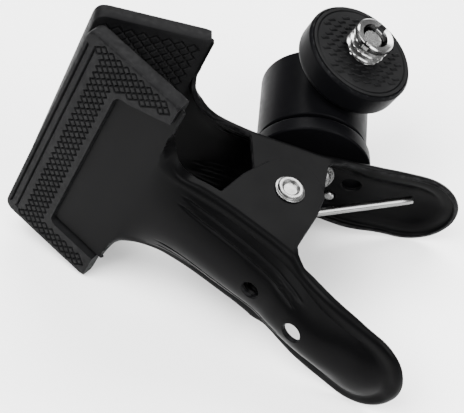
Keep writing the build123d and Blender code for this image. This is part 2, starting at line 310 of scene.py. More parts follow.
def piece(name, points, faces, matrix, body, slot=None, worn=None, sharp=32):
    """A mesh of local points in millimetres as a piece that rides on a body (None: on no body).

    A piece with the name of a CAD node stands for that node, and has its slot.
    """
    slot = slot or SLOT_OF[name]
    mesh = bpy.data.meshes.new(name)
    mesh.from_pydata([tuple(p) for p in points], [], [tuple(f) for f in faces])
    mesh.transform(matrix)
    if worn is not None:
        wear = mesh.attributes.new("worn", "FLOAT", "POINT")
        wear.data.foreach_set("value", np.asarray(worn, np.float32))
    work = bmesh.new()
    work.from_mesh(mesh)
    bmesh.ops.remove_doubles(work, verts=work.verts, dist=1e-7)
    bmesh.ops.recalc_face_normals(work, faces=work.faces)
    work.to_mesh(mesh)
    work.free()
    mesh.shade_smooth()
    mesh.set_sharp_from_angle(angle=math.radians(sharp))
    mesh.materials.append(MATERIALS[slot])
    made = add_object(name, mesh)
    if name in frame["nodes"]:
        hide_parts(name)
    if body:
        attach(made, body)
    return made


def polar(radius, turn, z):
    """The point at a radius and a share of a full turn."""
    return (radius * math.cos(2 * math.pi * turn), radius * math.sin(2 * math.pi * turn), z)


def band(a, b, count):
    """Faces between two rings of points, whose first points are a and b."""
    return [(a + k, a + (k + 1) % count, b + (k + 1) % count, b + k) for k in range(count)]


def curve_value(x, knots):
    """A smooth value through a few (place, value) knots."""
    places, values = zip(*knots)
    if x <= places[0]:
        return values[0]
    if x >= places[-1]:
        return values[-1]
    i = max(j for j in range(len(places) - 1) if places[j] <= x)

    def slope(j):
        if j in (0, len(places) - 1):
            return 0.0
        return (values[j + 1] - values[j - 1]) / (places[j + 1] - places[j - 1])

    span = places[i + 1] - places[i]
    t = (x - places[i]) / span
    return (
        (2 * t**3 - 3 * t**2 + 1) * values[i]
        + (t**3 - 2 * t**2 + t) * span * slope(i)
        + (3 * t**2 - 2 * t**3) * values[i + 1]
        + (t**3 - t**2) * span * slope(i + 1)
    )


def smooth_step(x, start, end):
    t = min(1.0, max(0.0, (x - start) / (end - start)))
    return t * t * (3 - 2 * t)


def rounded(corners, closed=False, steps=6):
    """A 2-D outline with arcs at the corners that have a radius: (a, b) or (a, b, radius)."""
    made = []
    count = len(corners)
    for i, corner in enumerate(corners):
        here = Vector(corner[:2])
        radius = corner[2] if len(corner) > 2 else 0
        if not radius or (not closed and i in (0, count - 1)):
            made.append(here)
            continue
        before = Vector(corners[i - 1][:2]) - here
        after = Vector(corners[(i + 1) % count][:2]) - here
        half = before.angle(after) / 2
        cut = min(radius / math.tan(half), before.length * 0.49, after.length * 0.49)
        start, end = here + before.normalized() * cut, here + after.normalized() * cut
        for k in range(steps + 1):
            t = k / steps
            made.append(start * (1 - t) ** 2 + here * 2 * t * (1 - t) + end * t**2)
    return made


def dense(points, step, closed=True):
    """The outline with no two points further apart than step."""
    made = []
    last = len(points) if closed else len(points) - 1
    for i in range(last):
        a, b = Vector(points[i]), Vector(points[(i + 1) % len(points)])
        pieces = max(1, math.ceil((b - a).length / step))
        made += [a.lerp(b, k / pieces) for k in range(pieces)]
    if not closed:
        made.append(Vector(points[-1]))
    return made


def inside(points, outline):
    """Which 2-D points lie inside the outline."""
    x, y = points[:, 0], points[:, 1]
    result = np.zeros(len(points), bool)
    for (ax, ay), (bx, by) in zip(outline, np.roll(outline, -1, axis=0)):
        crosses = (ay > y) != (by > y)
        with np.errstate(divide="ignore", invalid="ignore"):
            at = (bx - ax) * (y - ay) / (by - ay) + ax
        result ^= crosses & (x < at)
    return result


def near_outline(points, outline, distance):
    """Which 2-D points lie close to a point of the outline."""
    found = np.zeros(len(points), bool)
    for corner in outline:
        found |= ((points - corner) ** 2).sum(1) < distance**2
    return found


def triangulate(outline, holes, extra, lines=(), margin=0.2):
    """Triangles inside the outline and outside the holes, with the extra points and lines kept."""
    loops = [np.array([tuple(p) for p in loop]) for loop in (outline, *holes)]
    extra = np.array([tuple(p) for p in extra])
    keep = inside(extra, loops[0]) & ~near_outline(extra, loops[0], margin)
    for hole in loops[1:]:
        keep &= ~inside(extra, hole) & ~near_outline(extra, hole, margin)
    verts, edges = [], []
    for loop in loops:
        first = len(verts)
        verts += [Vector(p) for p in loop]
        edges += [(first + i, first + (i + 1) % len(loop)) for i in range(len(loop))]
    for a, b in lines:
        edges.append((len(verts), len(verts) + 1))
        verts += [Vector(a), Vector(b)]
    verts += [Vector(p) for p in extra[keep]]
    out, _, faces, *_ = geometry.delaunay_2d_cdt(verts, edges, [], 0, 1e-5)
    flat = np.array([tuple(p) for p in out])
    faces = np.array([f for f in faces if len(f) == 3])
    middle = flat[faces].mean(1)
    good = inside(middle, loops[0])
    for hole in loops[1:]:
        good &= ~inside(middle, hole)
    faces = faces[good]
    used = np.unique(faces)
    renumber = {int(v): i for i, v in enumerate(used)}
    faces = [tuple(renumber[int(v)] for v in f) for f in faces]
    return flat[used], orient(flat[used], faces)


def orient(flat, faces):
    """The triangles, all turned the same way round."""
    made = []
    for a, b, c in faces:
        u, v = flat[b] - flat[a], flat[c] - flat[a]
        made.append((a, b, c) if u[0] * v[1] - u[1] * v[0] > 0 else (a, c, b))
    return made


def rim_of(faces):
    """Directed edges that only one face uses."""
    edges = {(f[i], f[(i + 1) % 3]) for f in faces for i in range(3)}
    return [(a, b) for a, b in edges if (b, a) not in edges]


def vertex_normals(points, faces):
    """The mean normal of the triangles at each point, by their areas."""
    tri = points[np.array(faces)]
    flat = np.cross(tri[:, 1] - tri[:, 0], tri[:, 2] - tri[:, 0])
    normals = np.zeros_like(points)
    for k in range(3):
        np.add.at(normals, np.array(faces)[:, k], flat)
    return normals / np.linalg.norm(normals, axis=1)[:, None]


# ---- pressed levers ----
class Lever:
    """The outer surface of a pressed lever over a flat blank: x along it, t across it.

    Each list of knots says how one measure runs along the lever: tops is the crest's height,
    rails the height of the shoulder beside it, feet where the crest meets the shoulder, halves
    the half width, edges the free edge of the flange and bends the bend's radius.
    """

    FOOT_STEPS = 16            # points of a section from the crest to its foot
    BEND_STEPS = 8

    def __init__(self, half, rises, rail_drops, edge_drops, ear_front, bay_edge=0.0, skew=0.0, far_wing=None):
        start, middle, end = (WEB + rise for rise in rises)
        early, waist, late, last = rail_drops
        self.half = half
        self.ear_front = ear_front
        self.bay_edge = bay_edge
        self.skew = skew
        self.far_wing = far_wing or PAD["width"]
        self.holes = []
        self.tables = {}
        self.tops = [(-30, WEB), (9, WEB), (HANDLE_START, start), (HANDLE_MIDDLE, middle), (GRIP_X, end)]
        self.rails = [
            (-28, WEB), (-24, 18.8), (-20, 17.8), (-15, 16.4), (-8, 15.3), (0, 14.9), (8, 14.8),
            (HANDLE_START, start - early), (18, middle - waist), (HANDLE_MIDDLE, middle - late),
            (GRIP_X, end - last),
        ]
        self.feet = [
            (-27, 13), (-20, 11.6), (-12, 10.4), (0, 10.1), (HANDLE_START, 9.0), (HANDLE_MIDDLE, 7.9),
            (GRIP_X, 8.2),
        ]
        self.halves = [
            (NECK_END, half), (HANDLE_START, (half + GRIP_HALF) / 2 - 0.7),
            (HANDLE_MIDDLE, GRIP_HALF), (GRIP_X, GRIP_HALF),
        ]
        self.edges = [
            (HANDLE_START, start - edge_drops[0]), (HANDLE_MIDDLE, middle - edge_drops[1]),
            (GRIP_X, end - edge_drops[2]),
        ]
        self.bends = [(-26, 4.6), (-23, 3.6), (-19, 2.6), (-14, 1.8), (10, 1.7), (GRIP_X, 1.7)]

    def plate(self, x):
        """Outer face of the jaw plate."""
        return GRIP_HEIGHT + (x + REACH) * math.tan(JAW_TILT) + (GRIP_LAYER + SHEET) / math.cos(JAW_TILT)

    def crest(self, x):
        """Top of the middle ridge, which runs out into the jaw plate."""
        neck, plate = curve_value(x, self.tops), self.plate(x)
        return plate + (neck - plate) * smooth_step(x, -33, -19)

    def section(self, x):
        """Half of the cross-section: distances across the blank, their y and z, and the distances
        at the crest's foot and at both ends of the bend."""
        x = round(min(x, GRIP_X), 2)
        if x in self.tables:
            return self.tables[x]
        top = self.crest(x)
        rail = min(curve_value(x, self.rails), top)
        half = self.half_at(x)
        foot = min(curve_value(x, self.feet), half - 1.5)
        points = []
        for k in range(self.FOOT_STEPS + 1):
            y = foot * k / self.FOOT_STEPS
            points.append(Vector((y, rail + (top - rail) * (1 - (y / foot) ** 2.5))))
        bend = min(curve_value(x, self.bends), 0.85 * (half - foot))
        points.append(Vector((half - bend, rail)))
        for k in range(1, self.BEND_STEPS + 1):
            a = math.pi / 2 * k / self.BEND_STEPS
            points.append(Vector((half - bend + bend * math.sin(a), rail - bend + bend * math.cos(a))))
        points.append(Vector((half, -30)))
        steps = [0.0] + [(b - a).length for a, b in zip(points, points[1:])]
        t = np.cumsum(steps)
        ys, zs = np.array([p[0] for p in points]), np.array([p[1] for p in points])
        crease = self.FOOT_STEPS + 1
        self.tables[x] = (t, ys, zs, t[self.FOOT_STEPS], t[crease], t[crease + self.BEND_STEPS])
        return self.tables[x]

    def half_at(self, x):
        """Distance from the middle to the side wall, which sweeps out round the bay at the jaw."""
        if x < BAY["front"]:
            return 60.0        # the jaw plate has no side wall
        if x < BAY["rear"]:
            share = (x - BAY["rear"]) / (BAY["rear"] - BAY["front"])
            return self.half + BAY["wide"] * (1 - math.sqrt(max(0.0, 1 - share**2)))
        return curve_value(x, self.halves)

    def at(self, x, t):
        """The point of the outer surface over a point of the blank."""
        side = 1 if t >= 0 else -1
        along, across, turn_x, turn_y = x, abs(t), 0.0, 1.0
        if x > GRIP_X:
            across = math.hypot(x - GRIP_X, t)
            turn_x, turn_y = (x - GRIP_X) / across, abs(t) / across
            along = GRIP_X
        table, ys, zs, *_ = self.section(along)
        y, z = float(np.interp(across, table, ys)), float(np.interp(across, table, zs))
        z -= self.rib(x, y) + self.dent(x, t)
        if x > GRIP_X:
            return (GRIP_X + y * turn_x, side * y * turn_y, z)
        lag = self.skew * (side * y + PAD["width"] / 2) / PAD["width"] * (1 - smooth_step(x, -30, -16))
        return (x + lag, side * y, z)

    def rib(self, x, y):
        """Two pressed lines along each flank of the ridge, with a rough strip between them."""
        strength = smooth_step(x, -17.5, -14) * (1 - smooth_step(x, 15, 18.5))
        if not strength:
            return 0.0
        foot = curve_value(x, self.feet)
        lines = sum(math.exp(-(((y - foot + offset) / 0.24) ** 2)) for offset in (1.6, 3.6))
        strip = math.exp(-(((y - foot + 2.6) / 0.8) ** 4))
        strip *= noise.noise(Vector((x * 1.6, y * 2.2, self.half)))
        return strength * (0.36 * lines + 0.09 * strip)

    def dent(self, x, t):
        """Slight waves left by pressing the handle."""
        strength = smooth_step(x, 22, 30)
        return 0.14 * strength * noise.noise(Vector((x * 0.16, t * 0.22, self.half)))

    def across_at(self, x, z):
        """Distance across the blank of a height on the side flange."""
        table, _, zs, *_, end = self.section(x)
        i = int(np.searchsorted(table, end))
        return float(table[i] + zs[i] - z)

    def outline(self):
        """Edge of the blank: jaw plate, bay, ear, and the handle with its rounded end."""
        tip = -REACH + 2.2
        rear = BAY["front"] - 0.2
        wing = PAD["width"] / 2 - 2
        side = [(tip, 0), (tip, wing, 3), (rear, wing, 0.8), (rear, self.half + BAY["wide"] + 0.2, 0.3)]
        bay = [(-25.9, 16.6), (-25.4, 15.6), (-24.6, 15.2), (-23.4, 15.0), (-22, 14.9), (-20, 14.6)]
        side += [(x, self.across_at(x, z + self.bay_edge)) for x, z in bay]
        top_x, top_z, low_x = self.ear_front
        front = [(-16.5, 13.9 + self.bay_edge), (top_x, top_z, 0.8), (low_x, 4.0, 3), (-7.6, -3.2, 2)]
        side += [(x, self.across_at(x, z), *r) for x, z, *r in front]
        for degrees in range(215, 335, 10):
            x, z, _ = polar(EAR_RADIUS, degrees / 360, 0)
            side.append((x, self.across_at(x, z)))
        back = [
            (8.2, 1.2, 2), (9.2, 11.4, 0.8), (10.6, 12.9, 1.0),
            (HANDLE_START, self.flange_edge(HANDLE_START), 1.5),
        ]
        side += [(x, self.across_at(x, z), *r) for x, z, *r in back]
        for k in range(1, 9):
            x = HANDLE_START + (GRIP_X - HANDLE_START) * k / 8
            side.append((x, self.across_at(x, self.flange_edge(x))))
        round_radius = side[-1][1]
        for k in range(1, 19):
            a = math.radians(90 - 5 * k)
            side.append((GRIP_X + round_radius * math.cos(a), round_radius * math.sin(a)))
        side = rounded(side)
        half = [p for p in side if p[1] > 1e-6]
        other = [Vector((p[0], -min(p[1], self.far_wing) if p[0] <= rear + 0.01 else -p[1])) for p in half]
        start, end = Vector((tip, 0)), Vector((side[-1][0], 0))
        return [start, *half, end, *reversed(other)]

    def flange_edge(self, x):
        """Height of the flange's free edge along the handle."""
        return curve_value(x, self.edges)

    def columns(self, x):
        """Places across the blank where the surface bends, closer together at the creases."""
        *_, foot, crease, end = self.section(x)
        ribs = 0.16 if -18.5 < x < 19.5 else 0.8
        wanted = [
            *np.arange(0, foot - 5, 1.0), *np.arange(foot - 5, foot - 0.4, ribs),
            *np.arange(foot, crease, 0.7), *np.linspace(crease, end, self.BEND_STEPS + 1),
            *np.arange(end + 0.6, end + 28, 1.2),      # down the flange
        ]
        made = []
        for t in sorted(wanted):
            if t >= 0 and (not made or t - made[-1] > 0.13):
                made.append(t)
        return made

    def blank_points(self):
        """Points inside the blank, in rows across it and then round the handle's end."""
        stations = [
            *np.arange(-50, -34, 2.5), *np.arange(-34, -27, 0.9), *np.arange(-26.9, -17.6, 0.3),
            *np.arange(-17.5, GRIP_X - 0.3, 0.8), GRIP_X,
        ]
        points = []
        for x in stations:
            for t in self.columns(float(x)):
                points += [(x, t), (x, -t)] if t else [(x, 0)]
        for degrees in range(5, 180, 5):
            a = math.radians(degrees)
            for t in self.columns(GRIP_X)[1:]:
                points.append((GRIP_X + t * math.sin(a), t * math.cos(a)))
        return points

    def build(self, name, matrix, body):
        """The sheet: outer face, inner face and a rounded rim, worn along its edges."""
        turn = [2 * math.pi * k / 40 for k in range(40)]
        holes = [
            [Vector((x + radius * math.cos(a), t + radius * math.sin(a))) for a in turn]
            for x, t, radius in self.holes
        ]
        flat, faces = triangulate(dense(self.outline(), 0.6), holes, self.blank_points(), margin=0.28)
        outer = np.array([self.at(x, t) for x, t in flat])
        normals = vertex_normals(outer, faces)
        if normals[np.argmax(outer[:, 2])][2] < 0:
            normals = -normals
        inner = outer - normals * SHEET
        count = len(outer)
        points, quads, worn = round_rim(outer, inner, normals, rim_of(faces), 0.22)
        shell = [tuple(f) for f in faces] + [(c + count, b + count, a + count) for a, b, c in faces]
        wear = np.zeros(len(points))
        wear[worn] = 1.0
        piece(name, points, shell + quads, matrix, body, worn=wear, sharp=40)


def round_rim(outer, inner, normals, rim, radius):
    """Closes the two faces of a sheet with a rounded edge."""
    count = len(outer)
    points = [tuple(p) for p in (*outer, *inner)]
    push = {}
    for a, b in rim:
        along = outer[b] - outer[a]
        for v in (a, b):
            push[v] = push.get(v, 0) + np.cross(along / (np.linalg.norm(along) + 1e-9), normals[v])
    ring = {}
    for v, direction in push.items():
        direction = direction / (np.linalg.norm(direction) + 1e-9)
        ring[v] = (len(points), len(points) + 1)
        thick = outer[v] - inner[v]
        share = radius / np.linalg.norm(thick)
        points.append(tuple(outer[v] + direction * radius - thick * share))
        points.append(tuple(inner[v] + direction * radius + thick * share))
    quads, worn = [], []
    for a, b in rim:
        top_a, low_a = ring[a]
        top_b, low_b = ring[b]
        quads += [(b, a, top_a, top_b), (top_b, top_a, low_a, low_b), (low_b, low_a, a + count, b + count)]
        worn += [top_a, low_a]
    return points, quads, worn


def make_levers():
    """The two levers, with their holes as (x, across, radius) in the blank."""
    lower = Lever(
        half=12.8, rises=(1.1, 2.6, 1.6), rail_drops=(4.5, 5.0, 4.2, 2.8), edge_drops=(6.0, 6.1, 4.2),
        ear_front=(-10.8, 12.6, -9.8), skew=SKEW, far_wing=24.4,
    )
    upper = Lever(
        half=11.4, rises=(0.0, 0.0, 1.0), rail_drops=(3.0, 2.7, 2.5, 2.4), edge_drops=(4.6, 4.5, 3.9),
        ear_front=(-9.4, 13.8, -8.0), bay_edge=1.3,
    )
    plain_hole = (PLAIN_HOLE_X, 0, 2.5)
    screw_hole, pin_hole = (HEAD_X, 0, 3.1), (HEAD_X + 7, 5.6, 1.6)
    for lever, holes in (
        (lower, [(THREAD_HOLE_X, 0, 2.3), plain_hole]),
        (upper, [screw_hole, plain_hole, pin_hole]),
    ):
        ear = lever.across_at(0.0, 0.0)
        lever.holes = [*holes, (0.0, ear, RIVET_HOLE), (0.0, -ear, RIVET_HOLE)]
    lower.build("lower_lever", LOWER, "lower_jaw")
    upper.build("upper_lever", UPPER, "upper_jaw")


# ---- rubber jaw pads ----
DIAMOND = (0.29, 0.42)         # grooves: half width and depth
LINE = (0.34, 0.5)
TREAD = (0.36, 0.5)


def diamond_lines(area, pitch, shift=0.0):
    """The walls of the diamond cells whose middle is in the area, each once."""
    scale = pitch / math.sqrt(2)
    reach = int(80 / pitch)
    walls = set()
    for i in range(-reach, reach):
        for j in range(-reach, reach):
            if area((i + j + 1) * scale + shift, (i - j) * scale):
                here, ahead, aside, across = (i, j), (i + 1, j), (i, j + 1), (i + 1, j + 1)
                walls |= {(here, ahead), (here, aside), (ahead, across), (aside, across)}
    return [
        tuple(np.array(((a[0] + a[1]) * scale + shift, (a[0] - a[1]) * scale)) for a in wall)
        for wall in walls
    ]


def distance_to(points, lines):
    """Distance of each 2-D point to the nearest of the lines."""
    nearest = np.full(len(points), 1e9)
    for a, b in lines:
        a, b = np.array(tuple(a)), np.array(tuple(b))
        along = b - a
        t = np.clip((points - a) @ along / max(along @ along, 1e-12), 0, 1)
        nearest = np.minimum(nearest, np.linalg.norm(points - a - t[:, None] * along, axis=1))
    return nearest


def groove_depth(points, lines, half, depth):
    """How deep the V grooves along the lines are at each point."""
    return np.clip(1 - distance_to(points, lines) / half, 0, 1) * depth


def groove_mesh_lines(lines, half):
    """The middle and the two edges of each groove."""
    made = []
    for a, b in lines:
        along = (b - a) / np.linalg.norm(b - a)
        side = np.array((-along[1], along[0])) * half
        made += [(a, b), (a + side, b + side), (a - side, b - side)]
    return made


def chain(points):
    """The lines from each point to the next."""
    return list(zip(points, points[1:]))


def rounding(gap, radius):
    """Drop of a rounded edge at a distance from it."""
    share = np.clip(1 - gap / radius, 0, 1)
    return radius * (1 - np.sqrt(1 - share**2))


def pad_faces(near, far, near_front):
    """Points and faces of a jaw pad: x back from the tip, y across, z out from the gripping face.

    The window's sides are at near and far at the rear, and its near front corner is at near_front.
    """
    half, depth, thick = PAD["width"] / 2, PAD["depth"], PAD["thick"]
    window, corner, pitch, shift, wall = 12.2, 3.0, 1.52, 0.9, 0.35

    def frame_area(x, y):
        """Where the face round the window has its diamonds, clear of the two long lines."""
        if not (3.4 < x < depth - 2.2 and -half + 2.1 < y < half - 1.75):
            return False
        if x < 6.0 and -half + 3.4 < y < half - 4.4:
            return False
        side = near_front + (near - near_front) * (x - window) / (depth - window)
        return x < window - 2.2 or y > side + 1.9 or y < -far - 2.2

    def grip_area(x, y):
        return 2.6 < x < depth - 2.6 and abs(y) < half - 2.6

    diamonds = diamond_lines(frame_area, pitch, shift)
    long_lines = [(np.array((x, -half + 3.4)), np.array((x, half - 4.2))) for x in (1.35, 3.2)]
    treads = diamond_lines(grip_area, 2.0)
    rear = [(depth, near), (depth, near - wall), (depth, wall - far), (depth, -far)]
    corners = [(depth, -half), (0, -half, corner), (0, half, corner), (depth, half)]
    border = dense(rounded(corners), 1.2, False)
    outline = border + dense([border[-1], *rear, border[0]], 1.2, False)[1:-1]
    recess = rounded([(depth, near), (window, near_front, 2.6), (window, -far, 2.0), (depth, -far)])
    floor = rounded([
        (depth, near - wall), (window + wall, near_front - wall, 2.4),
        (window + wall, wall - far, 1.8), (depth, wall - far),
    ])
    lines = groove_mesh_lines(diamonds, DIAMOND[0]) + groove_mesh_lines(long_lines, LINE[0])
    lines += chain(recess) + chain(floor)
    grid = [(x, y) for x in np.arange(1, depth, 1.6) for y in np.arange(-half + 1, half, 1.6)]
    for a, b in chain(border):
        along = (b - a).normalized()
        edge = [a + Vector((along[1], -along[0])) * d for d in (0.16, 0.38, 0.66)]
        grid += [p for p in edge if p[0] < depth - 0.1]

    top, top_faces = triangulate(outline, [], grid, lines, 0.12)
    height = thick - groove_depth(top, diamonds, *DIAMOND) - groove_depth(top, long_lines, *LINE)
    height -= rounding(distance_to(top, chain(border)), 0.6)
    sunk = inside(top, np.array([tuple(p) for p in floor])) | (distance_to(top, chain(floor)) < 1e-3)
    sunk |= (top[:, 0] > depth - 1e-3) & (top[:, 1] < near - wall + 1e-3) & (top[:, 1] > wall - far - 1e-3)
    height = np.where(sunk, GRIP_LAYER + 0.15, height)
    low, low_faces = triangulate(outline, [], grid, groove_mesh_lines(treads, TREAD[0]), 0.12)
    base = groove_depth(low, treads, *TREAD) + rounding(distance_to(low, chain(border)), 0.45)
    points = [*zip(*top.T, height), *zip(*low.T, base)]
    # a touch smaller, to stay inside the CAD pad
    points = [(0.1 + x * 0.996, y * 0.997, z) for x, y, z in points]

    count = len(top)
    faces = list(top_faces) + [(c + count, b + count, a + count) for a, b, c in low_faces]
    lower_of = {tuple(p): i + count for i, p in enumerate(np.round(low, 3))}
    for a, b in rim_of(top_faces):
        ends = [lower_of.get(tuple(np.round(top[v], 3))) for v in (a, b)]
        if None in ends:
            raise RuntimeError("pad rim points differ")
        faces.append((b, a, *ends))
    return points, faces


def make_pads():
    points, faces = pad_faces(27.8, 26.0, 22.6)
    points = [(x + SKEW * (y / PAD["width"] + 0.5), y, z) for x, y, z in points]
    piece("lower_jaw_pad", points, faces, jaw_of(LOWER), "lower_jaw", sharp=25)
    points, faces = pad_faces(24.9, 24.9, 24.9)
    piece("upper_jaw_pad", points, faces, jaw_of(UPPER), "upper_jaw", sharp=25)


# ---- turned parts ----
def lathe(name, profile, matrix, body, segments=128, closed=False, sharp=32, worn_edges=False):
    """A profile of (radius, height) or (radius, height, corner radius) turned about local z."""
    outline = rounded(profile, closed=closed, steps=5)
    points, rings = [], []
    for r, z in outline:
        if r < 1e-6:
            rings.append([len(points)] * segments)
            points.append((0, 0, z))
        else:
            rings.append([len(points) + k for k in range(segments)])
            points += [polar(r, k / segments, z) for k in range(segments)]
    pairs = list(zip(rings, rings[1:]))
    if closed:
        pairs.append((rings[-1], rings[0]))
    faces = []
    for first, second in pairs:
        for k in range(segments):
            n = (k + 1) % segments
            loop = list(dict.fromkeys((first[k], first[n], second[n], second[k])))
            if len(loop) > 2:
                faces.append(loop)
    wear = None
    if worn_edges:
        top = max(z for _, z in outline)
        wear = [1.0 if abs(z - top) < 0.45 and math.hypot(x, y) > 1 else 0 for x, y, z in points]
    return piece(name, points, faces, matrix, body, worn=wear, sharp=sharp)


def cut(target, cutter):
    """Takes the cutter away from the target, and deletes the cutter."""
    step = target.modifiers.new("cut", "BOOLEAN")
    step.operation = "DIFFERENCE"
    step.solver = "EXACT"
    step.object = cutter
    bpy.context.view_layer.update()
    result = bpy.data.meshes.new_from_object(target.evaluated_get(bpy.context.evaluated_depsgraph_get()))
    target.modifiers.clear()
    target.data = result
    bpy.data.objects.remove(cutter)
    result.shade_smooth()
    result.set_sharp_from_angle(angle=math.radians(30))


def prism(outline, low, high, matrix):
    """A cutter with a 2-D outline in local x and y, from low to high in z."""
    count = len(outline)
    points = [(x, y, z) for z in (low, high) for x, y in outline]
    faces = [tuple(reversed(range(count))), tuple(range(count, 2 * count)), *band(0, count, count)]
    mesh = bpy.data.meshes.new("cutter")
    mesh.from_pydata(points, [], faces)
    mesh.transform(matrix)
    return add_object("cutter", mesh)


def thread_phase(z, turn, pitch):
    """0 at the middle of a thread's crest, 1 at its root."""
    return abs(2 * ((z / pitch - turn) % 1.0) - 1)


def threaded(name, body, major, depth, pitch, low, high, bore=0.0, plain=0.0):
    """A thread on the stem's axis, of the given outer radius, with a bore and a plain end if wanted."""
    segments = 144
    rows = int((high - low) / (pitch / 18))

    def radius_at(z, turn):
        crest = major - depth * min(1.0, max(0.0, (thread_phase(z, turn, pitch) - 0.14) / 0.72))
        if plain:
            crest += (major - crest) * smooth_step(z, high - plain - 0.35, high - plain)
            return min(crest, major - 0.35 + (high - z) * 1.4, major - depth + max(0.0, z - low) * 1.1)
        end = min(high - z, z - low)
        return min(crest, major - depth + max(0.0, end - 0.05) * 1.1)

    points, faces = [], []
    for row in range(rows + 1):
        z = low + (high - low) * row / rows
        points += [polar(radius_at(z, k / segments), k / segments, z) for k in range(segments)]
    for row in range(rows):
        faces += band(row * segments, (row + 1) * segments, segments)
    last = rows * segments
    if bore:
        inner = len(points)
        for z in (low + 0.3, high - 0.3):
            points += [polar(bore, k / segments, z) for k in range(segments)]
        rings = (0, inner, inner + segments, last)
        for a, b in zip(rings, rings[1:]):
            faces += band(b, a, segments)
    else:
        faces += [tuple(reversed(range(segments))), tuple(range(last, last + segments))]
    return piece(name, points, faces, STEM, body, sharp=55)


def make_pivot():
    """Rivet with a raised, dished head, and a domed far end."""
    near, far = 12.8, -13.6
    profile = [
        (0, near + 0.4), (1.6, near + 0.35, 0.3), (2.1, near + 1.1, 0.2), (2.8, near + 1.15, 0.25),
        (3.0, near + 0.55, 0.15), (3.5, near + 0.4, 0.2), (3.5, near, 0.1), (2.5, near), (2.5, far),
        (3.6, far, 0.1), (3.6, far - 0.5, 0.4), (2.6, far - 1.1, 0.4), (0, far - 1.1),
    ]
    lathe("pivot_rivet", profile, RIVET, "lower_jaw", 96)


def make_nut():
    """Nut behind the threaded hole, with its thread showing."""
    top, low = WEB - SHEET, WEB - SHEET - 3.0
    outer = dense([polar(5.2, k / 6, 0)[:2] for k in range(6)], 1.2)
    count, rows, pitch = len(outer), 30, 1.27
    points = [(*p, z) for z in (top, low) for p in outer]
    bore = len(points)
    for row in range(rows + 1):
        z = top + (low - top) * row / rows
        for x, y in outer:
            turn = math.atan2(y, x) / (2 * math.pi)
            groove = 0.45 * (1 - thread_phase(z, turn, pitch)) if 0 < row < rows else 0.0
            points.append(polar(2.5 - groove, turn, z))
    last = bore + rows * count
    faces = band(0, count, count) + band(0, bore, count) + band(last, count, count)
    for start in range(bore, last, count):
        faces += band(start, start + count, count)
    piece("clinch_nut", points, faces, shifted(LOWER, THREAD_HOLE_X, 0, 0), "lower_jaw")


# ---- torsion spring ----
WIRE = 0.85                    # wire radius
LEG_WIRE = 0.98
COIL_RADIUS = 5.2
COIL_PITCH = 1.78
COIL_STEPS = 260
LEG_RISE = math.radians(18.45)


def tube(name, path, radius, body):
    """A round wire along a path of points in metres, with flat, slightly rounded ends."""
    sides, last = 20, len(path) - 1
    points, faces, side = [], [], None
    spots = [(0, 0.8, -0.2), *((i, 1.0, 0.0) for i in range(last + 1)), (last, 0.8, 0.2)]
    for i, share, push in spots:
        along = (path[min(i + 1, last)] - path[max(i - 1, 0)]).normalized()
        side = (side - along * side.dot(along)).normalized() if side else along.orthogonal().normalized()
        other = along.cross(side)
        centre = path[i] + along * radius * push
        for k in range(sides):
            x, y, _ = polar(radius * share, k / sides, 0)
            points.append(centre + side * x + other * y)
    end = len(points) - sides
    for start in range(0, end, sides):
        faces += band(start, start + sides, sides)
    faces += [tuple(reversed(range(sides))), tuple(range(end, end + sides))]
    return piece(name, points, faces, Matrix.Identity(4), body, "spring_wire", sharp=50)


def make_spring():
    """The coil lies round the pivot between the levers, on no body; each leg rides on its own lever."""
    half_angle = math.acos(upper_z[1])
    turns = 8 + (math.pi - 2 * (half_angle + LEG_RISE)) / (2 * math.pi)
    length = COIL_PITCH * turns
    leg_end = Vector((34.1, -2.3, WEB - SHEET - WIRE - 0.25))
    tangent = Vector((-math.sin(LEG_RISE), 0, math.cos(LEG_RISE))) * COIL_RADIUS
    spoke = LOWER @ tangent - pivot
    across = away.cross(spoke)
    coil = []
    for k in range(COIL_STEPS + 1):
        a = 2 * math.pi * turns * k / COIL_STEPS
        rise = away * (-length / 2 + length * k / COIL_STEPS) * MM
        coil.append(pivot + spoke * math.cos(a) + across * math.sin(a) + rise)
    body = tube("spring_coil", coil, WIRE * MM, None)
    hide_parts("torsion_spring")
    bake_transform(body)
    for name, lever, rider, start in (
        ("spring_leg_lower", LOWER, "lower_jaw", coil[0]),
        ("spring_leg_upper", UPPER, "upper_jaw", coil[-1]),
    ):
        end = lever @ leg_end
        tube(name, [start.lerp(end, k / 12) for k in range(13)], LEG_WIRE * MM, rider)


# ---- ball head ----
COLLAR = {"radius": 14.2, "height": 4.5}
HOUSING = {"radius": 13.0, "top": 25.7, "bore": 10.2}
BALL_RADIUS = 9.5
BALL_DEPTH = 5.9               # ball's centre below the housing's rim
BALL_HEIGHT = HOUSING["top"] - BALL_DEPTH
NECK = 4.0                     # radius of the stem where it leaves the ball
DISC = {"radius": 13.4, "back": 13.5, "face": 22.1}
GROOVE = 1.15                  # gap between the collar and the housing
SLOT_TURN = math.radians(62)   # adapter's screwdriver slot about the stem
DASH_TURN = math.radians(102)  # rows of dashes about the stem


